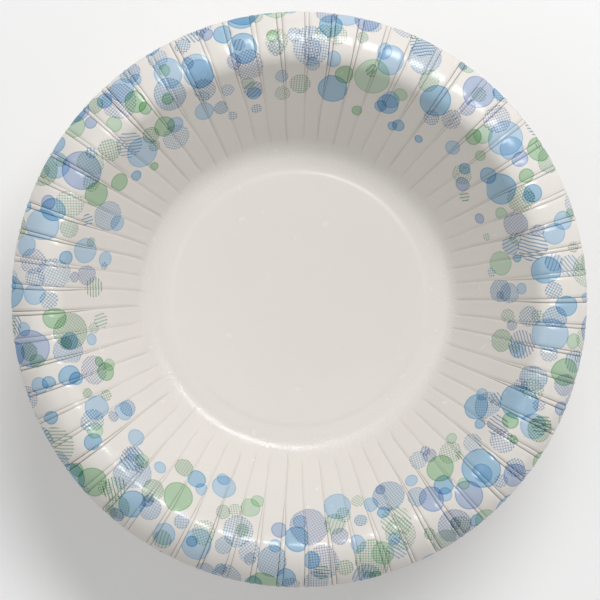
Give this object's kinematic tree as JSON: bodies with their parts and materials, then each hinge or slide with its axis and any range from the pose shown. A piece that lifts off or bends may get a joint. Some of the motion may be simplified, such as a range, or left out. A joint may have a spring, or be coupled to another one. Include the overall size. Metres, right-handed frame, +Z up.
{
  "type": "stack of paper bowls",
  "caption": "Stack of identical round paper bowls nested one inside the other, each pressed from one printed board blank with a flat floor, pleated wall and turned-down brim.",
  "frame": {"origin": "centre of the foot ring of the lowest bowl, on the surface that the stack stands on", "axes": "+Z up along the common axis of the bowls, towards the open mouth of the top bowl; +X to the right in the picture and +Y towards its top edge"},
  "size_m": [0.1883, 0.1884, 0.0634],
  "materials": {
    "printed_board": "warm white clay-coated board, satin, with translucent blue and green dots printed round the brim"
  },
  "bodies": {
    "root": {"bowl_01": "printed_board", "bowl_02": "printed_board", "bowl_03": "printed_board", "bowl_04": "printed_board", "bowl_05": "printed_board", "bowl_06": "printed_board", "bowl_07": "printed_board", "bowl_08": "printed_board", "bowl_09": "printed_board", "bowl_10": "printed_board", "bowl_11": "printed_board", "bowl_12": "printed_board"}
  },
  "joints": []
}
